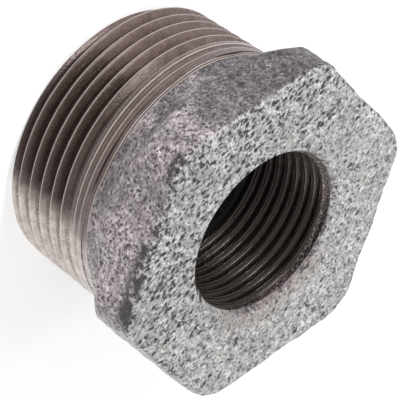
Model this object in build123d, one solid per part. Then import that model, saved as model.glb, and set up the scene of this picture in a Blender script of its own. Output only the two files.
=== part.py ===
from build123d import *
from math import cos, pi, radians, sin, tan
import os

os.makedirs("parts", exist_ok=True)

# A reducing hexagon bushing, cast in malleable iron. A short tapered outside
# thread leads into a smooth neck, and a cove under a rounded hexagon head. A
# smaller parallel thread goes down through the head into a wider hollow that
# was cored in the casting and is open at the small end. The outside thread is
# cut here as a true tapered helix. The inside one stays a plain tapping bore,
# whose wall is where the crests of its thread stand.
#
# Millimetres. The origin is the centre of the small end face. +Z runs along
# the bore, from the small end to the face of the hexagon.

# --- head ---------------------------------------------------------------------
OVERALL = 31.5            # small end face to hexagon face
ACROSS_FLATS = 47.0
CORNER_R = 4.5            # cast rounding of the six upright edges
FACE_EDGE_R = 0.8         # cast rounding where the flats meet the face

# --- outside thread, R 1 1/4, 55 degrees, tapered 1 in 16 on the diameter -------
PITCH = 25.4 / 11
FLANK = radians(55 / 2)
GAUGE_Z = 12.7            # gauge plane, measured from the small end
GAUGE_R = 41.910 / 2      # crest radius in the gauge plane
DEPTH = 1.479             # crest to groove bottom
TAPER = 1 / 32            # radius gained per unit of length
GROOVE_Z = 0.74           # height of a groove where it crosses the X axis
RUNOUT_Z = 11.6           # where the groove starts to lift out of the metal
RUNOUT_SLOPE = 0.34       # how fast it lifts, radius per unit of length
END_CHAMFER = 1.0         # at the small end
POINTS_PER_TURN = 24      # how finely the helix is drawn
OVERSHOOT = 0.3           # how far the thread cutter stands clear of the crests
CUTTER_START = 90         # degrees round from X where each turn of cutter begins

# --- neck and cove -------------------------------------------------------------
NECK_Z = 16.2             # end of the taper, start of the smooth neck
COVE_Z = 17.8             # end of the neck, start of the cove
COVE_R = 6.0              # hollow round under the head
COVE_SWING = 66           # degrees of the round that the casting keeps
COVE_STEPS = 2            # straight facets that make up the round
CORNER_SLOPE = 1.3        # the corners turn back above the cove, height over radius

# --- bore ------------------------------------------------------------------------
TAP_R = 12.3              # crests of the inside thread, Rp 3/4
TAP_LENGTH = 16.0         # tapped length below the hexagon face
MOUTH_R = 13.5            # countersink at the hexagon face, 45 degrees
CORE_R = 15.4             # hollow as cast, open at the small end


def crest_radius(z):
    """Crest radius of the tapered thread at height z."""
    return GAUGE_R + (z - GAUGE_Z) * TAPER


NECK_R = crest_radius(NECK_Z)


def groove_radius(z):
    """Bottom of the groove: full depth along the taper, then lifting out below the neck."""
    lift = max(0, z - RUNOUT_Z) * RUNOUT_SLOPE
    return crest_radius(z) - DEPTH + lift


def helix(z_from, z_to, offset, lift):
    """One stretch of a right-hand helix that follows the groove, moved out and up from it."""
    count = max(4, round(POINTS_PER_TURN * (z_to - z_from) / PITCH))
    points = []
    for i in range(count + 1):
        z = z_from + (z_to - z_from) * i / count
        angle = 2 * pi * (z - GROOVE_Z) / PITCH
        r = groove_radius(z) + offset
        points.append(Vector(r * cos(angle), r * sin(angle), z + lift))
    return Edge.make_spline(points)


def groove(z_from, z_to):
    """Up to one turn of the thread cutter: two flanks that meet at the bottom of the groove."""
    reach = DEPTH + OVERSHOOT
    half_mouth = reach * tan(FLANK)
    rails = [
        helix(z_from, z_to, 0, 0),
        helix(z_from, z_to, reach, half_mouth),
        helix(z_from, z_to, reach, -half_mouth),
    ]
    faces = []
    for i in range(len(rails)):
        faces.append(Face.make_surface_from_curves(rails[i], rails[i - 1]))
    for end in (0, 1):
        section = [rail.position_at(end) for rail in rails]
        faces.append(Face(Wire.make_polygon(section, close=True)))
    return Solid(Shell(faces))


def cut_outside_thread(body):
    """Cut the groove one turn after another, from below the small end to where it has lifted out."""
    z = GROOVE_Z + PITCH * (CUTTER_START / 360 - 1)
    top = RUNOUT_Z + (DEPTH + OVERSHOOT) / RUNOUT_SLOPE
    while z < top:
        z_next = min(z + PITCH, top)
        body = body - groove(z, z_next)
        z = z_next
    return body


def turned(profile):
    """A solid of revolution about Z from a closed outline in radius and height."""
    return revolve(Plane.XZ * make_face(Polyline(*profile, close=True)), axis=Axis.Z)


def cove_point(angle):
    """A point on the hollow round, angle degrees up from the neck."""
    swing = radians(angle)
    return (NECK_R + COVE_R * (1 - cos(swing)), COVE_Z + COVE_R * sin(swing))


def spindle():
    """The outside of revolution: chamfered end, taper, neck, cove and turned-back corners."""
    corner_r = ACROSS_FLATS / 2 / cos(pi / 6)
    cove = [cove_point(COVE_SWING * (i + 1) / COVE_STEPS) for i in range(COVE_STEPS)]
    cove_r, cove_z = cove[-1]
    return turned([
        (0, 0),
        (crest_radius(0) - END_CHAMFER, 0),
        (crest_radius(END_CHAMFER), END_CHAMFER),
        (NECK_R, NECK_Z),
        (NECK_R, COVE_Z),
        *cove,
        (corner_r, cove_z + (corner_r - cove_r) * CORNER_SLOPE),
        (corner_r, OVERALL),
        (0, OVERALL),
    ])


def hexagon():
    """An upright hexagonal bar with rounded corners, one corner on the X axis."""
    outline = RegularPolygon(ACROSS_FLATS / 2, 6, major_radius=False)
    bar = extrude(outline, amount=OVERALL)
    return fillet(bar.edges().filter_by(Axis.Z), CORNER_R)


def blank():
    """The casting's outside: the bar trimmed to the spindle, its face edges rounded."""
    body = spindle() & hexagon()
    face = body.faces().sort_by(Axis.Z)[-1]
    return fillet(face.outer_wire().edges(), FACE_EDGE_R)


def bore():
    """What is hollow: countersink, tapping bore, and the cored hollow below it."""
    tap_end = OVERALL - TAP_LENGTH
    return turned([
        (0, 0),
        (CORE_R, 0),
        (CORE_R, tap_end - (CORE_R - TAP_R)),
        (TAP_R, tap_end),
        (TAP_R, OVERALL - (MOUTH_R - TAP_R)),
        (MOUTH_R, OVERALL),
        (0, OVERALL),
    ])


bushing = cut_outside_thread(blank() - bore())
bushing.label = "hex_bushing"
export_step(bushing, "parts/hex_bushing.step")
print("hex_bushing", round(bushing.volume), "mm3, one solid:", len(bushing.solids()) == 1)
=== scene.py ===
# %% [markdown]
# # A cast hexagon bushing
#
# A reducing bushing is one casting: a hexagon for the wrench, a short neck, an outside taper thread and a
# smaller thread down the middle. The foundry gives it a rough rounded skin, and the lathe and the tap give it
# the bright threads. So the lesson follows the workshop: first the casting, then the two threads that are
# cut, and last the finishes, one for each way in which the metal was worked.
#
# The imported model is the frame. It is loaded first and never changed. All sizes below are written in
# millimetres and multiplied by MM, because Blender works in metres here.

# %% Load the frame
import bpy
from math import cos, exp, hypot, pi, radians, sin, tan
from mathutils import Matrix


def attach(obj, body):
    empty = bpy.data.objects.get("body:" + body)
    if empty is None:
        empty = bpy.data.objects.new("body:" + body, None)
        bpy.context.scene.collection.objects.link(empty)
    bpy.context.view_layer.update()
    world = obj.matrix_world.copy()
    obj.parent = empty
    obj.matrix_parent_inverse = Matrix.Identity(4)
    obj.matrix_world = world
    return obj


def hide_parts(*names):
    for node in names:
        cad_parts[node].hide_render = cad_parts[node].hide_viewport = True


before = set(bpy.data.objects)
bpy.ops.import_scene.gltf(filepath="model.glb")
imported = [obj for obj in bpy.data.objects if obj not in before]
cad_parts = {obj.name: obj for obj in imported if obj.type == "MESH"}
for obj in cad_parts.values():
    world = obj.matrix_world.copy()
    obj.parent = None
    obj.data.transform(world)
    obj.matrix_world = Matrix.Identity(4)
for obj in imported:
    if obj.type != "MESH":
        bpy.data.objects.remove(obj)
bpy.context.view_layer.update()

MM = 0.001
print("nodes in the frame:", list(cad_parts))

# %% [markdown]
# ## Small helpers for working by hand
#
# Every operator acts on what is selected, and the loaded frame comes in selected. So each step starts by
# deselecting everything and picking one object. Two ways of drawing cover all the round forms: a stack of
# rings, where a circle is extruded upwards and scaled again and again, and a line, where one point is
# extruded along an outline.

# %% Pick one object
def pick(obj):
    """Leaves only this object selected and active."""
    if bpy.context.object and bpy.context.object.mode != "OBJECT":
        bpy.ops.object.mode_set(mode="OBJECT")
    bpy.ops.object.select_all(action="DESELECT")
    obj.select_set(True)
    bpy.context.view_layer.objects.active = obj


def drop_selection():
    """Deselects everything, so that a new primitive stands alone."""
    bpy.ops.object.select_all(action="DESELECT")


def tell(obj):
    """Prints how large the mesh is, and whether it is closed."""
    along_axes = [[v.co[i] / MM for v in obj.data.vertices] for i in range(3)]
    size = [f"{min(places):.2f} to {max(places):.2f}" for places in along_axes]
    used = {}
    for face in obj.data.polygons:
        for key in face.edge_keys:
            used[key] = used.get(key, 0) + 1
    loose = sum(1 for times in used.values() if times != 2)
    print(f"{obj.name}: {len(obj.data.polygons)} faces, {loose} open edges, "
          f"x {size[0]}, y {size[1]}, z {size[2]} mm")


# %% A stack of rings
def ring_stack(name, rings, sides):
    """A closed turned form. rings are (radius, height) in mm from the lowest to the highest."""
    drop_selection()
    radius, height = rings[0]
    bpy.ops.mesh.primitive_circle_add(vertices=sides, radius=radius * MM, fill_type="NGON",
                                      location=(0, 0, height * MM))
    obj = bpy.context.object
    obj.name = name
    bpy.ops.object.transform_apply(location=True, rotation=True, scale=True)
    bpy.ops.object.mode_set(mode="EDIT")
    bpy.ops.mesh.select_all(action="SELECT")
    for next_radius, next_height in rings[1:]:
        rise = (next_height - height) * MM
        bpy.ops.mesh.extrude_region_move(TRANSFORM_OT_translate={"value": (0, 0, rise)})
        grow = next_radius / radius
        bpy.ops.transform.resize(value=(grow, grow, 1), center_override=(0, 0, next_height * MM))
        radius, height = next_radius, next_height
    bpy.ops.mesh.select_all(action="SELECT")
    bpy.ops.mesh.normals_make_consistent(inside=False)
    bpy.ops.object.mode_set(mode="OBJECT")
    tell(obj)
    return obj


# %% Modifiers and trimming between solids
def finish_modifier(obj, kind, **settings):
    """Adds a modifier, sets it and applies it at once."""
    pick(obj)
    modifier = obj.modifiers.new(kind.lower(), kind)
    for key, value in settings.items():
        setattr(modifier, key, value)
    bpy.ops.object.modifier_apply(modifier=modifier.name)


def combine(obj, other, how):
    """UNION, DIFFERENCE or INTERSECT of two closed meshes. The second one is used up."""
    finish_modifier(obj, "BOOLEAN", object=other, operation=how, solver="EXACT")
    bpy.data.objects.remove(other, do_unlink=True)
    tell(obj)


# %% [markdown]
# ## The hexagon and what the lathe left of it
#
# The head is a hexagonal bar, 47 mm across the flats, with generous roundings, because sand won't hold a
# sharp corner. Under the head the casting turns into a hollow round and a neck, and the six corners slope
# back like a chamfered nut. Both facts come together when a beveled bar is intersected with a turned form.
#
# No casting is quite regular. This one is a little wider across one pair of flats. The bar's own X axis
# points at a flat once the bar is turned by 30 degrees, so the bar is drawn out along that axis before it is
# trimmed. Its flats lean inwards by a hair towards the face, as they must to leave the sand.

# %% Sizes of the casting
OVERALL = 31.5         # from the small end to the face of the hexagon
ACROSS_FLATS = 47.0
OVER_CORNERS = 52.8    # over the rounded corners
CORNER_ROUND = 5.8     # radius of the six upright corners
FACE_ROUND = 0.8       # radius of the rim of the face
MOULD_STRETCH = 1.025  # width across the flats at 30 and 210 degrees, over that of a true hexagon
TOP_DRAFT = 0.15       # how far the flats lean in at the face
NECK_R = 21.06
NECK_Z = 16.2          # where the thread gives way to the neck
COVE_Z = 17.8          # where the hollow round starts
COVE_R = 6.0
CORNER_SLOPE = 1.3     # rise of the sloping corners, for 1 outwards
TO_CORNER = ACROSS_FLATS / 2 / cos(pi / 6)
print("corner to corner before rounding:", round(2 * TO_CORNER, 2), "mm")

# %% The bar
BAR_BOTTOM = 15.0
drop_selection()
bpy.ops.mesh.primitive_cylinder_add(vertices=6, radius=TO_CORNER * MM,
                                    depth=(OVERALL - BAR_BOTTOM) * MM,
                                    location=(0, 0, (OVERALL + BAR_BOTTOM) / 2 * MM),
                                    rotation=(0, 0, radians(30)))
head = bpy.context.object
head.name = "bushing_casting"
head.scale.x = MOULD_STRETCH
bpy.ops.object.transform_apply(location=True, rotation=True, scale=True)
tell(head)


# %% Draft, upright corners and rim
def select_edges(obj, wanted):
    """Selects the edges for which wanted(middle in mm, direction) holds."""
    pick(obj)
    bpy.ops.object.mode_set(mode="EDIT")
    bpy.ops.mesh.select_all(action="DESELECT")
    bpy.ops.mesh.select_mode(type="EDGE")
    bpy.ops.object.mode_set(mode="OBJECT")
    count = 0
    for edge in obj.data.edges:
        a, b = (obj.data.vertices[i].co for i in edge.vertices)
        if wanted((a + b) / 2 / MM, (b - a).normalized()):
            edge.select = True
            count += 1
    bpy.ops.object.mode_set(mode="EDIT")
    return count


pick(head)
bpy.ops.object.mode_set(mode="EDIT")
bpy.ops.mesh.select_mode(type="VERT")
bpy.ops.mesh.select_all(action="DESELECT")
bpy.ops.object.mode_set(mode="OBJECT")
for vertex in head.data.vertices:
    vertex.select = vertex.co.z > (OVERALL - 1) * MM
bpy.ops.object.mode_set(mode="EDIT")
draft = 1 - TOP_DRAFT / (ACROSS_FLATS / 2)
bpy.ops.transform.resize(value=(draft, draft, 1), center_override=(0, 0, OVERALL * MM))
bpy.ops.object.mode_set(mode="OBJECT")
upright = select_edges(head, lambda middle, way: abs(way.z) > 0.9)
bpy.ops.mesh.bevel(offset=CORNER_ROUND * tan(pi / 6) * MM, segments=8, profile=0.5, affect="EDGES")
bpy.ops.object.mode_set(mode="OBJECT")
rim = select_edges(head, lambda middle, way: abs(way.z) < 0.1 and middle.z > OVERALL - 0.01)
bpy.ops.mesh.bevel(offset=FACE_ROUND * MM, segments=6, profile=0.5, affect="EDGES")
bpy.ops.object.mode_set(mode="OBJECT")
print("beveled", upright, "upright edges and", rim, "edges of the face")
tell(head)

# %% The turned form
COVE_SWING = 72        # degrees of the hollow round, before the slope takes over
TURNED_SIDES = 144
cove_turns = [radians(a) for a in range(6, COVE_SWING + 1, 6)]
cove = [(NECK_R + COVE_R * (1 - cos(a)), COVE_Z + COVE_R * sin(a)) for a in cove_turns]
cove_r, cove_z = cove[-1]
past_corners = TO_CORNER + 1
rings = [(NECK_R - 1.2, NECK_Z - 1.8), (NECK_R, NECK_Z - 0.8), (NECK_R, COVE_Z)] + cove
rings += [(past_corners, cove_z + (past_corners - cove_r) * CORNER_SLOPE), (past_corners, OVERALL + 1)]
turned_form = ring_stack("turned_form", rings, TURNED_SIDES)
combine(head, turned_form, "INTERSECT")

# %% [markdown]
# ## The skin of the casting
#
# A casting has no crisp inner or outer edges and no true flats: the sand wanders by a tenth or two of a
# millimetre, and small lumps and pits are left by its grains. Beveling every edge of the trimmed bar would be
# slow and fail at the corners. A voxel remesh gives an even net of small faces instead, a little smoothing
# rounds all that was sharp by the same amount, and clouds of displacement give the wandering and the pits.
# At the end, whatever would stand past the size of the part is eased back, as a file takes off a high spot.

# %% Even net and soft edges
VOXEL = 0.36
finish_modifier(head, "REMESH", mode="VOXEL", voxel_size=VOXEL * MM, adaptivity=0)
finish_modifier(head, "SMOOTH", factor=0.5, iterations=5)
tell(head)


# %% Lumps and pits
def clouds(name, size):
    """A cloud texture whose lumps are about size mm across."""
    texture = bpy.data.textures.new(name, "CLOUDS")
    texture.noise_scale = size * MM
    texture.noise_depth = 2
    return texture


def weigh(obj, name, how_much):
    """A vertex group whose weight is how_much(x, y, z) in mm, from 0 to 1."""
    group = obj.vertex_groups.new(name=name)
    for vertex in obj.data.vertices:
        group.add([vertex.index], max(0.0, min(1.0, how_much(*(vertex.co / MM)))), "REPLACE")


def roughness_left(x, y, z):
    """Most on the flat at +Y, less on the rest of the head, and hardly any on the neck."""
    if z < COVE_Z:
        return 0.1
    return 1.0 if y > ACROSS_FLATS / 2 - 1.5 else 0.45


finish_modifier(head, "DISPLACE", texture=clouds("sand_waves", 8.0), texture_coords="LOCAL",
                strength=0.6 * MM, mid_level=0.67)
weigh(head, "lumpy", roughness_left)
for cloud, size, strength, middle in (("sand_lumps", 2.6, 0.7, 0.62), ("sand_grains", 0.9, 0.3, 0.58)):
    finish_modifier(head, "DISPLACE", texture=clouds(cloud, size), texture_coords="LOCAL",
                    vertex_group="lumpy", strength=strength * MM, mid_level=middle)
tell(head)

# %% File off the high spots
EASE = 0.15


def held_within(value, limit):
    """Eases a size in mm off over the last bit, so that no lump stands past the limit."""
    start = limit - EASE
    over = abs(value) - start
    if over <= 0:
        return value
    eased = start + EASE * (1 - exp(-over / EASE))
    return eased if value > 0 else -eased


for vertex in head.data.vertices:
    vertex.co.x = held_within(vertex.co.x / MM, OVER_CORNERS / 2) * MM
    vertex.co.y = held_within(vertex.co.y / MM, ACROSS_FLATS / 2) * MM
    vertex.co.z = held_within(vertex.co.z / MM, OVERALL) * MM
tell(head)

# %% [markdown]
# ## The outside thread
#
# It is an R 1 1/4 taper pipe thread: 11 turns to the inch, 55 degree flanks, rounded tops and bottoms, and a
# diameter that grows by 1 in 16. The chaser lifts out of the metal before the neck, so the last turns get
# shallow and keep flat tops. One outline of a single pitch goes through a Screw modifier, which repeats it as
# a helix. The taper and the run-out are then given to each point by its own height, which no modifier does.

# %% One pitch of the outline
INCH = 25.4
PITCH = INCH / 11
FLANK = radians(27.5)            # half the angle between the flanks
DEPTH = 0.640327 * PITCH
TOP_ROUND = 0.137329             # radius of the rounded tops, in pitches
ROUND_STEPS = 4


def thread_outline(pitch, depth):
    """Points (height along the axis, depth below the top) over one pitch, from a bottom to the next one."""
    sharp = pitch / 2 / tan(FLANK)
    lost = 1 / sin(FLANK) - 1    # what a rounding of radius 1 takes off the depth of a sharp corner
    top_r = TOP_ROUND * pitch
    bottom_r = (sharp - top_r * lost - depth) / lost
    half = []
    for i in range(ROUND_STEPS + 1):
        a = (pi / 2 - FLANK) * i / ROUND_STEPS
        half.append((bottom_r * sin(a), depth - bottom_r * (1 - cos(a))))
    for i in range(ROUND_STEPS, -1, -1):
        a = (pi / 2 - FLANK) * i / ROUND_STEPS
        half.append((pitch / 2 - top_r * sin(a), top_r * (1 - cos(a))))
    other_half = [(pitch - height, down) for height, down in reversed(half[:-1])]
    return half + other_half


outline = thread_outline(PITCH, DEPTH)
print("outline of one pitch:", len(outline), "points, depth", round(DEPTH, 3), "mm")


# %% Draw a line by extruding one point
def drawn_line(name, points):
    """An open line in the XZ plane through the points (x, z) in mm."""
    drop_selection()
    bpy.ops.mesh.primitive_plane_add(size=MM, location=(0, 0, 0))
    obj = bpy.context.object
    obj.name = name
    bpy.ops.object.mode_set(mode="EDIT")
    bpy.ops.mesh.select_all(action="SELECT")
    bpy.ops.mesh.merge(type="CENTER")
    bpy.ops.mesh.select_mode(type="VERT")
    bpy.ops.mesh.select_all(action="SELECT")
    x, z = points[0]
    bpy.ops.transform.translate(value=(x * MM, 0, z * MM))
    for next_x, next_z in points[1:]:
        step = ((next_x - x) * MM, 0, (next_z - z) * MM)
        bpy.ops.mesh.extrude_region_move(TRANSFORM_OT_translate={"value": step})
        x, z = next_x, next_z
    bpy.ops.object.mode_set(mode="OBJECT")
    return obj


def helical(obj, pitch, turns, steps):
    """Turns a one-pitch line into a tube of helical turns, its neighbouring turns joined."""
    finish_modifier(obj, "SCREW", axis="Z", angle=2 * pi, screw_offset=pitch * MM, iterations=turns,
                    steps=steps, render_steps=steps, use_normal_calculate=False)
    pick(obj)
    bpy.ops.object.mode_set(mode="EDIT")
    bpy.ops.mesh.select_all(action="SELECT")
    bpy.ops.mesh.remove_doubles(threshold=0.002 * MM)
    bpy.ops.object.mode_set(mode="OBJECT")
    return obj


# %% The helix
GAUGE_R = 41.910 / 2
GAUGE_Z = 12.7                   # where the thread has its nominal diameter
THREAD_START = 0.74              # height of a groove's bottom on the +X side
THREAD_TURNS = 10
TURN_STEPS = 96
first = THREAD_START - 2 * PITCH
line = drawn_line("outside_thread", [(GAUGE_R - down, first + height) for height, down in outline])
thread = helical(line, PITCH, THREAD_TURNS, TURN_STEPS)
tell(thread)

# %% Taper and run-out, point by point
RUNOUT_Z = 11.6                  # where the chaser starts to lift
RUNOUT_SLOPE = 0.38              # depth lost for 1 along the axis
END_CHAMFER = 1.0                # at 45 degrees, on the small end
TAPER = 1 / 32                   # on the radius, which is 1 in 16 on the diameter


def crest_r(z):
    """Radius of the thread's tops at height z, in mm."""
    return GAUGE_R + (z - GAUGE_Z) * TAPER


for vertex in thread.data.vertices:
    x, y, z = vertex.co / MM
    r = hypot(x, y)
    down = GAUGE_R - r           # the tube is still parallel, so this is the depth below its tops
    shallow = max(0, z - RUNOUT_Z) * RUNOUT_SLOPE
    new_r = crest_r(z) - max(0, down - shallow)
    new_r = min(new_r, crest_r(0) - END_CHAMFER + z)
    vertex.co.x *= new_r / r
    vertex.co.y *= new_r / r
tell(thread)


# %% Cut the ends square
def cut_square(obj, height, keep):
    """Cuts a tube at a height in mm, keeps what is above or below, and closes the cut."""
    pick(obj)
    bpy.ops.object.mode_set(mode="EDIT")
    bpy.ops.mesh.select_all(action="SELECT")
    bpy.ops.mesh.bisect(plane_co=(0, 0, height * MM), plane_no=(0, 0, 1), use_fill=True,
                        clear_inner=keep == "above", clear_outer=keep == "below", threshold=1e-7)
    bpy.ops.mesh.select_all(action="SELECT")
    bpy.ops.mesh.normals_make_consistent(inside=False)
    bpy.ops.object.mode_set(mode="OBJECT")


cut_square(thread, 0, "above")
cut_square(thread, NECK_Z + 0.2, "below")
tell(thread)
combine(head, thread, "UNION")

# %% [markdown]
# ## The hollow and the inside thread
#
# A sand core leaves the wide hollow at the small end, rough and a little uneven. The drill goes through the
# rest, a countersink opens the mouth, and a tap cuts a finer parallel thread, Rp 3/4 with 14 turns to the
# inch. Each tool is modelled as the solid that it sweeps and then taken away, just as the real ones do it.

# %% Core and countersink
TAP_R = 12.3          # to the tops of the inside thread
TAP_END = 15.5
MOUTH_R = 13.5
CORE_R = 15.4
CORE_TOP = 12.4       # above it the hollow narrows to the drilled hole
drill_r = TAP_R - 0.3
core = ring_stack("core", [(CORE_R, -1), (CORE_R, CORE_TOP), (drill_r, TAP_END + 0.3),
                           (drill_r, OVERALL - 1.6), (MOUTH_R + 0.5, OVERALL + 0.5)], TURNED_SIDES)
combine(head, core, "DIFFERENCE")

# %% The tap
TAP_PITCH = INCH / 14
TAP_ROOT = 13.22      # to the bottoms of the inside thread
TAP_START = 0.8       # height of a top on the +X side, less whole pitches
TAP_TURNS = 13
TAP_BOTTOM = 14.0
tap_outline = thread_outline(TAP_PITCH, TAP_ROOT - TAP_R)
tap_first = TAP_START + 6 * TAP_PITCH
tap_line = [(TAP_ROOT - down, tap_first + height) for height, down in tap_outline]
tap = helical(drawn_line("tap", tap_line), TAP_PITCH, TAP_TURNS, TURN_STEPS)
cut_square(tap, TAP_BOTTOM, "above")
cut_square(tap, OVERALL + 0.4, "below")
tell(tap)
combine(head, tap, "DIFFERENCE")

# %% [markdown]
# ## Finishes
#
# The four ways of working the metal give four finishes: the sand-cast skin, the outside thread, the inside
# thread, and the cored hollow. An image could hold such a surface, but it would smear on the threads. Noise
# and cells that are worked out from the place of each point go through the metal like its real grain, at a
# known size in millimetres, and they never show a seam. Zinc or oxide hides the metal nearly everywhere, so
# none of the finishes is set as bare metal.
#
# A small class keeps the wiring short. It also measures each point as a turner would: how high it is, how far
# from the axis, and towards which side.

# %% A finish in the making
DRAWN_TOWARDS = 148   # azimuth in degrees along which the specks are longer
DRAWN_OUT = 1.45      # how much longer


class Finish:
    """A material whose nodes are wired by short calls. Places and sizes are in mm."""

    def __init__(self, name):
        self.material = bpy.data.materials.new(name)
        self.material.use_nodes = True
        self.nodes = self.material.node_tree.nodes
        self.links = self.material.node_tree.links
        self.shader = self.nodes["Principled BSDF"]
        self.place = self.nodes.new("ShaderNodeTexCoord").outputs["Object"]
        split = self.nodes.new("ShaderNodeSeparateXYZ")
        self.links.new(self.place, split.inputs[0])
        self.x, self.y, self.z = [self.math("DIVIDE", out, MM) for out in split.outputs]
        y_squared = self.math("MULTIPLY", self.y, self.y)
        self.r = self.math("SQRT", self.math("MULTIPLY_ADD", self.x, self.x, y_squared))

    def plug(self, value, socket):
        """Links a socket, or writes a number or a colour into it."""
        if isinstance(value, bpy.types.NodeSocket):
            self.links.new(value, socket)
        else:
            socket.default_value = (*value, 1) if isinstance(value, tuple) else value

    def math(self, how, *values):
        """One step of arithmetic."""
        node = self.nodes.new("ShaderNodeMath")
        node.operation = how
        for value, socket in zip(values, node.inputs):
            self.plug(value, socket)
        return node.outputs[0]

    def between(self, value, low, high, out_low=0.0, out_high=1.0):
        """Goes softly from out_low at low to out_high at high, and stays there."""
        node = self.nodes.new("ShaderNodeMapRange")
        node.interpolation_type = "SMOOTHSTEP"
        limits = {"From Min": low, "From Max": high, "To Min": out_low, "To Max": out_high}
        for name, number in limits.items():
            node.inputs[name].default_value = number
        self.plug(value, node.inputs["Value"])
        return node.outputs["Result"]

    def grain(self, size, detail, rough):
        """Noise with grains about size across, 0.5 on average."""
        node = self.nodes.new("ShaderNodeTexNoise")
        node.inputs["Scale"].default_value = 1 / (size * MM)
        node.inputs["Detail"].default_value = detail
        node.inputs["Roughness"].default_value = rough
        self.links.new(self.place, node.inputs["Vector"])
        return node.outputs["Fac"]

    def torn_place(self, size):
        """The place, shifted unevenly by about half of size and drawn out along one direction."""
        noise = self.nodes.new("ShaderNodeTexNoise")
        noise.inputs["Scale"].default_value = 1 / (0.55 * size * MM)
        noise.inputs["Detail"].default_value = 3.0
        self.links.new(self.place, noise.inputs["Vector"])
        shift = self.nodes.new("ShaderNodeVectorMath")
        shift.operation = "MULTIPLY_ADD"
        self.links.new(noise.outputs["Color"], shift.inputs[0])
        shift.inputs[1].default_value = (1.1 * size * MM,) * 3
        self.links.new(self.place, shift.inputs[2])
        drawn = self.nodes.new("ShaderNodeMapping")
        drawn.vector_type = "TEXTURE"
        drawn.inputs["Rotation"].default_value = (0, 0, radians(DRAWN_TOWARDS))
        drawn.inputs["Scale"].default_value = (DRAWN_OUT, 1, 1)
        self.links.new(shift.outputs[0], drawn.inputs["Vector"])
        return drawn.outputs[0]

    def pits(self, spacing, radius, share):
        """Uneven spots, 1 inside, of about that radius, in a share of cells that are spacing across."""
        node = self.nodes.new("ShaderNodeTexVoronoi")
        node.inputs["Scale"].default_value = 1 / (spacing * MM)
        self.links.new(self.torn_place(spacing), node.inputs["Vector"])
        chance = self.nodes.new("ShaderNodeSeparateColor")
        self.links.new(node.outputs["Color"], chance.inputs[0])
        edge = radius / spacing
        spot = self.between(node.outputs["Distance"], 0.6 * edge, 1.2 * edge, 1.0, 0.0)
        chosen = self.math("GREATER_THAN", share, chance.outputs[0])
        return self.math("MULTIPLY", spot, chosen)

    def ramp(self, value, stops):
        """Colours along a value. stops are (position, colour)."""
        node = self.nodes.new("ShaderNodeValToRGB")
        while len(node.color_ramp.elements) < len(stops):
            node.color_ramp.elements.new(1.0)
        for element, (position, colour) in zip(node.color_ramp.elements, stops):
            element.position = position
            element.color = (*colour, 1)
        self.links.new(value, node.inputs["Fac"])
        return node.outputs["Color"]

    def mix(self, amount, first, second, how="MIX"):
        """The first colour, going to the second by amount."""
        node = self.nodes.new("ShaderNodeMix")
        node.data_type = "RGBA"
        node.blend_type = how
        factor, colour_a, colour_b = node.inputs[0], node.inputs[6], node.inputs[7]
        for value, socket in ((amount, factor), (first, colour_a), (second, colour_b)):
            self.plug(value, socket)
        return node.outputs[2]

    def towards(self, azimuth):
        """1 on the side of that azimuth, 0 a quarter turn away."""
        a = radians(azimuth)
        along_y = self.math("MULTIPLY", self.y, sin(a))
        return self.math("DIVIDE", self.math("MULTIPLY_ADD", self.x, cos(a), along_y), self.r)

    def turn_phase(self, pitch, start):
        """How far a point is along one pitch of a right-hand thread, from 0 to 1, 0 on the start line."""
        angle = self.math("DIVIDE", self.math("ARCTAN2", self.y, self.x), 2 * pi)
        rise = self.math("DIVIDE", self.math("SUBTRACT", self.z, start), pitch)
        return self.math("FRACT", self.math("SUBTRACT", rise, angle))

    def finish(self, colour, roughness, height, specular):
        """Plugs in what was mixed. height is the relief in mm."""
        bump = self.nodes.new("ShaderNodeBump")
        bump.inputs["Strength"].default_value = 1.0
        bump.inputs["Distance"].default_value = MM
        self.plug(height, bump.inputs["Height"])
        self.plug(colour, self.shader.inputs["Base Color"])
        self.plug(roughness, self.shader.inputs["Roughness"])
        self.links.new(bump.outputs["Normal"], self.shader.inputs["Normal"])
        self.shader.inputs["Specular IOR Level"].default_value = specular
        print(self.material.name, "is mixed from", len(self.nodes), "nodes")


def sum_of(made, *weighted):
    """Adds up (weight, value) pairs inside a finish."""
    total = 0.0
    for weight, value in weighted:
        total = made.math("MULTIPLY_ADD", value, weight, total)
    return total


# %% [markdown]
# ### Cast skin
#
# Malleable iron under a thin zinc coat. The ground is a pale grey that holds dark specks, where the coat has
# opened over the grains of the skin, and larger pits from the sand. The face of the hexagon is the palest.
# The flats keep a duller, slightly mauve bloom, pinker on one side and bluer on the others, and their tone is
# painted lighter on the pink side and darker on the blue, as painted light and painted shade; towards +X they
# take a further painted shade. Along one long edge the skin is darker in patches. Small pale glints are
# painted highlights. Round the mouth there is a blush of rust.
#
# A plain noise gives soft clouds, never crisp specks. The cells of a Voronoi texture do: near each cell's
# middle there is a spot, and a share of the cells is left out. The spots are crowded towards one side.

# %% Mottling and specks
skin = Finish("cast_skin")
fine = skin.grain(0.42, 3, 0.6)
medium = skin.grain(1.0, 3, 0.6)
broad = skin.grain(5.5, 3, 0.55)
tone = sum_of(skin, (0.55, fine), (0.45, medium))
crowded_side = skin.math("MULTIPLY", skin.towards(75), skin.between(skin.r, 12, 26, 0.5, 1.0))
speck_share = skin.between(sum_of(skin, (0.16, crowded_side), (1.0, broad)), 0.40, 0.72, 0.25, 0.95)
speck = skin.pits(0.62, 0.21, speck_share)
opened_share = skin.between(sum_of(skin, (0.3, crowded_side), (1.0, broad)), 0.36, 0.74, 0.05, 1.0)
opened = skin.pits(0.9, 0.36, opened_share)
pit = skin.pits(1.3, 0.36, skin.between(broad, 0.42, 0.60, 0.05, 0.5))
tiny_pit = skin.pits(0.45, 0.14, skin.between(medium, 0.35, 0.6, 0.10, 0.6))
hole = skin.math("MAXIMUM", pit, tiny_pit)
# Painted highlights: small pale glints on the skin.
painted_glint = skin.between(skin.grain(0.4, 2, 0.5), 0.63, 0.70)
print("mottling and four sizes of specks:", len(skin.nodes), "nodes so far")

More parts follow.
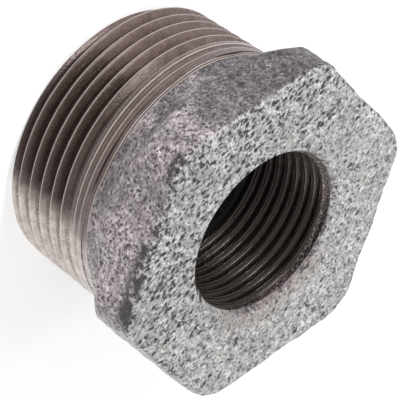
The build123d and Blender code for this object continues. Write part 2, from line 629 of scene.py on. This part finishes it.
# %% Colours of the cast skin
OPEN_IRON = (0.016, 0.016, 0.015)
EDGE_DARK = (0.028, 0.025, 0.026)
PIT_DARK = (0.03, 0.028, 0.028)
SPECK_DARK = (0.045, 0.042, 0.042)
# Painted shade, which darkens the flats towards +X.
PAINTED_SHADE_ON_FLATS = (0.03, 0.027, 0.028)
# Colour of the painted glints, a painted highlight.
PAINTED_GLINT = (0.80, 0.79, 0.78)
RUST_BLUSH = (0.40, 0.31, 0.31)
PALE_FLAT = 150       # azimuth of the flat that is as pale as the face
# The bloom is pinkest towards this azimuth, and there it is also painted lighter, as painted light.
PINK_PAINTED_LIGHT_FLAT = 95        # azimuth towards which the bloom is pinkest
STAIN_SIDE = -150     # azimuth towards which the mouth is stained
print("opened skin:", OPEN_IRON, "glint of zinc:", PAINTED_GLINT)

# %% Face and flats
edge_wobble = skin.math("MULTIPLY_ADD", medium, 0.8, -0.4)
on_face = skin.between(skin.math("ADD", skin.z, edge_wobble), OVERALL - 0.75, OVERALL - 0.35)
pale_flat = skin.between(skin.towards(PALE_FLAT), 0.86, 0.92)
is_pale = skin.math("MAXIMUM", on_face, pale_flat)
face_ground = skin.ramp(tone, [(0.39, (0.16, 0.157, 0.152)), (0.46, (0.44, 0.434, 0.425)),
                               (0.54, (0.62, 0.612, 0.60)), (0.61, (0.95, 0.94, 0.93))])
# The blue mauve is painted darker than the pink, as painted shade, and the pink mauve lighter, as painted
# light.
blue_mauve_painted_shade = skin.ramp(tone, [(0.40, (0.07, 0.059, 0.066)), (0.47, (0.18, 0.157, 0.172)),
                              (0.54, (0.24, 0.214, 0.232)), (0.61, (0.39, 0.36, 0.38))])
pink_mauve_painted_light = skin.ramp(tone, [(0.40, (0.22, 0.18, 0.19)), (0.47, (0.44, 0.375, 0.39)),
                              (0.54, (0.59, 0.51, 0.525)), (0.61, (0.95, 0.87, 0.88))])
# Towards one side the flats turn pink and painted lighter, as painted light; away from it blue and darker, as
# painted shade.
pink_and_painted_light_side = skin.between(sum_of(skin, (0.5, skin.towards(PINK_PAINTED_LIGHT_FLAT)), (1.0, broad)), 0.72, 1.05)
flat_ground = skin.mix(pink_and_painted_light_side, blue_mauve_painted_shade, pink_mauve_painted_light)
# Painted shade: the flats get darker towards +X.
flat_ground = skin.mix(skin.between(skin.towards(0), 0.80, 1.0, 0.0, 0.3), flat_ground, PAINTED_SHADE_ON_FLATS)
ground = skin.mix(is_pale, flat_ground, face_ground)
# Painted highlight: the pale glints are laid on the ground colour.
ground = skin.mix(skin.math("MULTIPLY", painted_glint, 0.7), ground, PAINTED_GLINT)
ground = skin.mix(skin.math("MULTIPLY", speck, 0.85), ground, SPECK_DARK)
ground = skin.mix(skin.math("MULTIPLY", hole, 0.85), ground, PIT_DARK)
ground = skin.mix(skin.math("MULTIPLY", opened, on_face), ground, OPEN_IRON)
print("face, flats and specks mixed:", len(skin.nodes), "nodes so far")

# %% The dark edge and the stained mouth
patchy = skin.grain(1.8, 4, 0.7)
# The skin is darkened in patches along the top of the flat at +Y, next to the face.
along_edge = skin.math("MULTIPLY", skin.between(skin.y, 21.9, 22.7), skin.between(skin.z, 28.6, 30.2))
along_edge = skin.math("MULTIPLY", along_edge, skin.between(skin.z, OVERALL - 0.25, OVERALL, 1.0, 0.0))
less_past_middle = skin.between(skin.x, -3.0, 6.0)
more_at_corner = skin.between(skin.x, 9.0, 12.0)
reach = sum_of(skin, (1.0, patchy), (-0.10, less_past_middle), (0.13, more_at_corner))
dark_edge = skin.math("MULTIPLY", along_edge, skin.between(reach, 0.45, 0.52))
ground = skin.mix(skin.math("MULTIPLY", dark_edge, 0.95), ground, EDGE_DARK)
at_mouth = skin.between(skin.r, 14.0, 16.5, 1.0, 0.0)
stain = skin.math("MULTIPLY", at_mouth, skin.between(skin.towards(STAIN_SIDE), 0.55, 0.9))
stain = skin.math("MULTIPLY", stain, skin.between(medium, 0.40, 0.60))
ground = skin.mix(skin.math("MULTIPLY", stain, 0.75), ground, RUST_BLUSH)
shade = skin.ramp(broad, [(0.34, (0.80, 0.80, 0.80)), (0.62, (1.0, 1.0, 1.0))])
ground = skin.mix(1.0, ground, shade, "MULTIPLY")
relief = sum_of(skin, (0.22, fine), (0.30, medium), (-0.10, speck), (-0.16, hole), (-0.15, dark_edge))
skin.finish(ground, skin.between(medium, 0.3, 0.7, 0.62, 0.42), relief, 0.5)

# %% [markdown]
# ### Outside thread
#
# The chaser leaves bright lines along the tops, partly bare metal and partly a painted highlight, and the
# flanks hold a dark brown oxide with an oily shine. In the run-out the tops are flat, so each line becomes
# two.
# Where a point stands within its pitch follows from its height and its direction, so the lines follow the
# helix by themselves. On one side the thread is painted pale, a painted reflection of the bright
# surroundings, with painted shade in its grooves, and towards another side the oxide is painted lighter, also
# a painted reflection.

# %% Lines along the helix
FLAT_START = 11.8     # height where the tops begin to be flat
FLAT_GROWTH = 0.0767  # half width of a flat top, in pitches for each mm above that
thread_cut = Finish("outside_thread_cut")
fine = thread_cut.grain(0.3, 3, 0.65)
medium = thread_cut.grain(1.6, 3, 0.6)
phase = thread_cut.turn_phase(PITCH, THREAD_START)
phase = thread_cut.math("MULTIPLY_ADD", thread_cut.math("SUBTRACT", medium, 0.5), 0.05, phase)
from_top = thread_cut.math("ABSOLUTE", thread_cut.math("SUBTRACT", phase, 0.5))
half_flat = thread_cut.math("MULTIPLY_ADD", thread_cut.z, FLAT_GROWTH, -FLAT_GROWTH * FLAT_START)
half_flat = thread_cut.math("MAXIMUM", half_flat, 0.0)
from_line = thread_cut.math("ABSOLUTE", thread_cut.math("SUBTRACT", from_top, half_flat))
# The bright line along each top is partly bare metal and partly a painted highlight.
top_line_and_highlight = thread_cut.between(from_line, 0.012, 0.042, 1.0, 0.0)
groove_edge = thread_cut.math("MAXIMUM", thread_cut.math("ADD", half_flat, 0.05), 0.20)
in_groove = thread_cut.between(thread_cut.math("SUBTRACT", from_top, groove_edge), 0.0, 0.07)
in_groove = thread_cut.math("MULTIPLY", in_groove, thread_cut.between(fine, 0.44, 0.60, 1.0, 0.3))
tool_marks = thread_cut.math("FRACT", thread_cut.math("MULTIPLY", phase, 5.0))
tool_marks = thread_cut.math("ABSOLUTE", thread_cut.math("SUBTRACT", tool_marks, 0.5))
tool_marks = thread_cut.between(tool_marks, 0.1, 0.4)
print("lines along the helix:", len(thread_cut.nodes), "nodes so far")

# %% Oxide, painted reflections and shine
# Colour of the top lines, partly bare metal and partly a painted highlight.
BRIGHT_TOP_AND_HIGHLIGHT = (0.62, 0.57, 0.54)
# Colour of the painted shade in the grooves.
PAINTED_GROOVE_SHADE = (0.075, 0.052, 0.043)
MARK_DARK = (0.026, 0.016, 0.013)
SCRATCH = (0.25, 0.21, 0.20)
OILY_SHINE = (1.0, 0.84, 0.79, 1)
PALE_REFLECTION_SIDE = 138       # azimuth of the side that is painted pale, a painted reflection
BROWN_REFLECTION_SIDE = 8        # azimuth of the side where the oxide is painted lighter, a painted reflection
dark = thread_cut.ramp(medium, [(0.32, (0.015, 0.007, 0.004)), (0.66, (0.040, 0.022, 0.017))])
brown_pink = thread_cut.ramp(medium, [(0.32, (0.115, 0.076, 0.070)), (0.66, (0.235, 0.165, 0.158))])
wander = thread_cut.math("MULTIPLY_ADD", thread_cut.grain(5.0, 2, 0.5), 0.12, -0.06)
# A painted reflection: the oxide is painted lighter towards this side.
brown_reflection_side = thread_cut.math("ADD", thread_cut.towards(BROWN_REFLECTION_SIDE), wander)
brown_reflection_side = thread_cut.between(brown_reflection_side, 0.72, 0.93)
# A painted reflection: on the side at this azimuth the thread is painted pale.
pale_reflection_side = thread_cut.math("ADD", thread_cut.towards(PALE_REFLECTION_SIDE), wander)
pale_reflection_side = thread_cut.between(pale_reflection_side, 0.80, 0.93)
# The oxide is mixed here with its painted reflection.
oxide_and_painted_reflection = thread_cut.mix(thread_cut.math("MULTIPLY", brown_reflection_side, 0.8), dark, brown_pink)
near_neck = thread_cut.between(thread_cut.z, 11.5, 15.5)
oxide_and_painted_reflection = thread_cut.mix(thread_cut.math("MULTIPLY", near_neck, 0.7), oxide_and_painted_reflection, brown_pink)
lined = thread_cut.math("MULTIPLY", tool_marks, thread_cut.between(thread_cut.z, 12.0, 14.5, 0.0, 0.8))
oxide_and_painted_reflection = thread_cut.mix(lined, oxide_and_painted_reflection, MARK_DARK)
# Pale colour of the painted reflection.
painted_pale_reflection = thread_cut.ramp(medium, [(0.32, (0.48, 0.43, 0.395)), (0.66, (0.84, 0.77, 0.725))])
metal = thread_cut.mix(pale_reflection_side, oxide_and_painted_reflection, painted_pale_reflection)
before_runout = thread_cut.between(thread_cut.z, 14.6, 15.8, 0.9, 0.0)
# Painted shade in the grooves, strongest on the side of the pale painted reflection.
most_on_pale_reflection = thread_cut.math("MULTIPLY_ADD", pale_reflection_side, 0.65, 0.25)
groove_shade = thread_cut.math("MULTIPLY", in_groove, before_runout)
groove_shade = thread_cut.math("MULTIPLY", groove_shade, most_on_pale_reflection)
metal = thread_cut.mix(groove_shade, metal, PAINTED_GROOVE_SHADE)
# The top lines are laid on, broken by noise: partly bare metal, partly a painted highlight.
broken_top_and_highlight = thread_cut.math("MULTIPLY", top_line_and_highlight, thread_cut.between(fine, 0.30, 0.50, 0.45, 0.95))
metal = thread_cut.mix(broken_top_and_highlight, metal, BRIGHT_TOP_AND_HIGHLIGHT)
metal = thread_cut.mix(thread_cut.between(fine, 0.60, 0.70, 0.0, 0.35), metal, SCRATCH)
relief = sum_of(thread_cut, (0.05, fine), (0.05, medium), (-0.04, lined))
thread_cut.shader.inputs["Specular Tint"].default_value = OILY_SHINE
thread_cut.finish(metal, thread_cut.between(fine, 0.35, 0.65, 0.34, 0.22), relief, 0.85)

# %% [markdown]
# ### Inside thread and cored hollow
#
# Deep in the bore the same oxide is nearly black, partly its own dark colour and partly painted shade, with a
# thin line along each top that is partly a painted highlight. Near the mouth the countersink has lost its
# shine to grey scale. The hollow behind was never cut, so it is dull and coarse.

# %% Inside thread
# Colour of the thin top lines in the bore, partly bare metal and partly a painted highlight.
DULL_TOP_AND_HIGHLIGHT = (0.19, 0.16, 0.147)
bore_cut = Finish("inside_thread_cut")
fine = bore_cut.grain(0.3, 3, 0.65)
medium = bore_cut.grain(1.4, 3, 0.6)
phase = bore_cut.turn_phase(TAP_PITCH, TAP_START)
from_top = bore_cut.math("MINIMUM", phase, bore_cut.math("SUBTRACT", 1.0, phase))
# The thin line along each top in the bore is partly a painted highlight.
top_line_and_highlight = bore_cut.between(from_top, 0.02, 0.07, 1.0, 0.0)
# Nearly black, partly the dark oxide and partly painted shade deep in the bore.
dark = bore_cut.ramp(medium, [(0.32, (0.003, 0.0022, 0.002)), (0.66, (0.009, 0.007, 0.006))])
metal = bore_cut.mix(bore_cut.math("MULTIPLY", top_line_and_highlight, 0.8), dark, DULL_TOP_AND_HIGHLIGHT)
scale = bore_cut.ramp(fine, [(0.42, (0.010, 0.007, 0.006)), (0.51, (0.040, 0.029, 0.026)),
                             (0.62, (0.30, 0.26, 0.245))])
ragged_height = sum_of(bore_cut, (1.0, bore_cut.z), (0.8, medium))
in_mouth = bore_cut.between(ragged_height, OVERALL - 1.7, OVERALL - 1.3)
metal = bore_cut.mix(in_mouth, metal, scale)
relief = sum_of(bore_cut, (0.05, fine), (0.06, medium))
bore_cut.shader.inputs["Specular Tint"].default_value = OILY_SHINE
bore_cut.finish(metal, bore_cut.between(fine, 0.35, 0.65, 0.28, 0.15), relief, 0.5)

# %% Cored hollow
hollow = Finish("cored_hollow")
fine = hollow.grain(0.7, 4, 0.65)
crust = hollow.ramp(fine, [(0.35, (0.022, 0.019, 0.017)), (0.50, (0.06, 0.053, 0.048)),
                           (0.66, (0.16, 0.145, 0.135))])
hollow.finish(crust, 0.8, hollow.math("MULTIPLY", fine, 0.5), 0.3)

# %% [markdown]
# ### Which face gets which finish
#
# The casting is one mesh by now, and each of its faces was last touched by one tool. Its height and its
# distance from the axis tell which tool that was.

# %% Give each face its finish
SKIN, OUTSIDE, INSIDE, HOLLOW = range(4)
bushing = head
for made in (skin, thread_cut, bore_cut, hollow):
    bushing.data.materials.append(made.material)
tally = [0, 0, 0, 0]
for face in bushing.data.polygons:
    x, y, z = face.center / MM
    r = hypot(x, y)
    if TAP_BOTTOM - 0.1 < z < OVERALL - 0.6 and r < MOUTH_R + 0.1:
        face.material_index = INSIDE
    elif z < TAP_END + 0.1 and r < CORE_R + 0.8:
        face.material_index = HOLLOW
    elif z < NECK_Z + 1.2 and r > CORE_R + 2.1:
        face.material_index = OUTSIDE
    else:
        face.material_index = SKIN
    tally[face.material_index] += 1
print("faces of cast skin, outside thread, inside thread, hollow:", tally)
SHARP_FROM = 38       # degrees between two faces
pick(bushing)
bpy.ops.object.shade_smooth_by_angle(angle=radians(SHARP_FROM))
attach(bushing, "root")
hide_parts("hex_bushing")

# %% [markdown]
# ## Floor, light and camera
#
# A plain pale floor carries the part. A small strong lamp draws the bright streaks across the threads, a weak
# one looks down the bore, and a broad one lifts the side with the zinc. An even sky fills the rest. The floor
# and the sky are white where they are seen, also in reflections, and dimmer as lights, so the pale skin
# doesn't burn out. The camera has a long lens, is turned about its axis, and looks down onto the hexagon.

# %% Floor
FLOOR_PALE = (0.85, 0.85, 0.85, 1)
FLOOR_GLOW = 0.45
WHITE = (1, 1, 1, 1)
drop_selection()
bpy.ops.mesh.primitive_plane_add(size=6, location=(0, 0, 0))
ground_plane = bpy.context.object
ground_plane.name = "floor"


def straight_rays(nodes, links):
    """1 for what the camera sees, also through a reflection or glass, and 0 for the light that it gives."""
    ray = nodes.new("ShaderNodeLightPath")
    seen = ray.outputs["Is Camera Ray"]
    for name in ("Is Glossy Ray", "Is Transmission Ray"):
        either = nodes.new("ShaderNodeMath")
        either.operation = "MAXIMUM"
        links.new(seen, either.inputs[0])
        links.new(ray.outputs[name], either.inputs[1])
        seen = either.outputs[0]
    return seen


pale = bpy.data.materials.new("floor_pale")
pale.use_nodes = True
nodes, links = pale.node_tree.nodes, pale.node_tree.links
shader = nodes["Principled BSDF"]
shader.inputs["Base Color"].default_value = FLOOR_PALE
shader.inputs["Roughness"].default_value = 0.9
shader.inputs["Emission Color"].default_value = WHITE
glow = nodes.new("ShaderNodeMath")
glow.operation = "MULTIPLY"
links.new(straight_rays(nodes, links), glow.inputs[0])
glow.inputs[1].default_value = FLOOR_GLOW
links.new(glow.outputs[0], shader.inputs["Emission Strength"])
ground_plane.data.materials.append(pale)
print("floor:", ground_plane.dimensions.x, "m wide")

# %% Sky
SKY_LIGHT = 0.45
world = bpy.data.worlds.new("studio")
bpy.context.scene.world = world
world.use_nodes = True
nodes, links = world.node_tree.nodes, world.node_tree.links
sky = nodes["Background"]
sky.inputs["Color"].default_value = WHITE
lift = nodes.new("ShaderNodeMath")
lift.operation = "MULTIPLY_ADD"
links.new(straight_rays(nodes, links), lift.inputs[0])
lift.inputs[1].default_value = 1 - SKY_LIGHT
lift.inputs[2].default_value = SKY_LIGHT
links.new(lift.outputs[0], sky.inputs["Strength"])
print("sky: strength", SKY_LIGHT, "as light, 1 where it is seen")


# %% Lamps
MIDDLE_Z = 0.015      # metres above the floor
LAMP_DISTANCE = 0.6


def soft_lamp(name, azimuth, elevation, size, power):
    """A square area lamp that looks at the middle of the part."""
    a, e = radians(azimuth), radians(elevation)
    drop_selection()
    out, up = LAMP_DISTANCE * cos(e), LAMP_DISTANCE * sin(e)
    place = (out * cos(a), out * sin(a), up + MIDDLE_Z)
    bpy.ops.object.light_add(type="AREA", location=place, rotation=(pi / 2 - e, 0, a + pi / 2))
    lamp = bpy.context.object
    lamp.name = name
    lamp.data.size = size
    lamp.data.energy = power
    print(name, "at", [round(v, 3) for v in place], "m,", power, "W")


soft_lamp("key_lamp", 14, 42, 0.10, 1.9)
soft_lamp("top_lamp", -40, 71, 0.10, 0.25)
soft_lamp("far_lamp", 166, 25, 0.35, 1.1)

# %% Camera
CAMERA_PLACE = (0.21084, 0.42810, 0.35074)      # metres
CAMERA_TURN = (-39.6464, -42.1294, -65.3682)    # degrees
LENS = 372.289                                  # mm, for a picture 36 mm wide
bpy.ops.object.camera_add(location=CAMERA_PLACE, rotation=[radians(a) for a in CAMERA_TURN])
camera = bpy.context.object
camera.data.sensor_width = 36
camera.data.lens = LENS
camera.data.clip_start = 0.05
bpy.context.scene.camera = camera
bpy.context.scene.view_settings.view_transform = "Standard"
print("camera:", round(camera.location.length, 3), "m away, lens", LENS, "mm")
